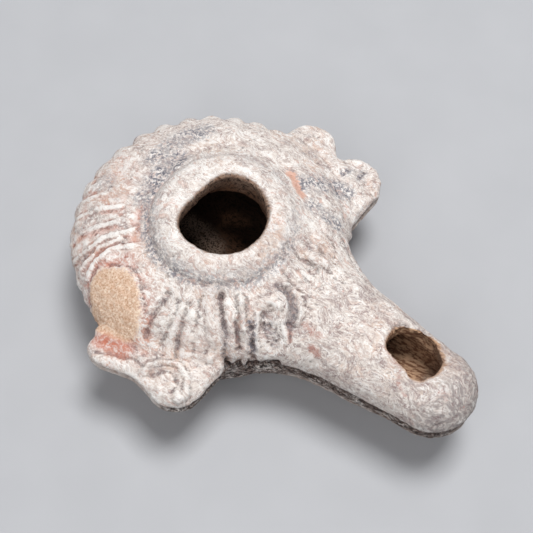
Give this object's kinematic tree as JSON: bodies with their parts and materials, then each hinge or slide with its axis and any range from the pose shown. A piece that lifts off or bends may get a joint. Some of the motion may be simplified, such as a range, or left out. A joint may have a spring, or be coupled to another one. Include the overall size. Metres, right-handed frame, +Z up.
{
  "type": "pottery oil lamp",
  "caption": "Hollow mould-made clay oil lamp: ribbed round bowl with a collared filling hole, scrolled side lugs and a long blunt nozzle with a wick hole.",
  "frame": {"origin": "centre of the flat foot's underside, where the lamp rests", "axes": "+Z up, +X along the lamp from the foot's centre towards the nozzle's tip, +Y towards the lug with the crisp notch"},
  "size_m": [0.0927, 0.0712, 0.0308],
  "materials": {
    "lamp": "matt, unglazed, weathered cream clay with a pink cast"
  },
  "bodies": {
    "root": {"lamp": "lamp"}
  },
  "joints": []
}
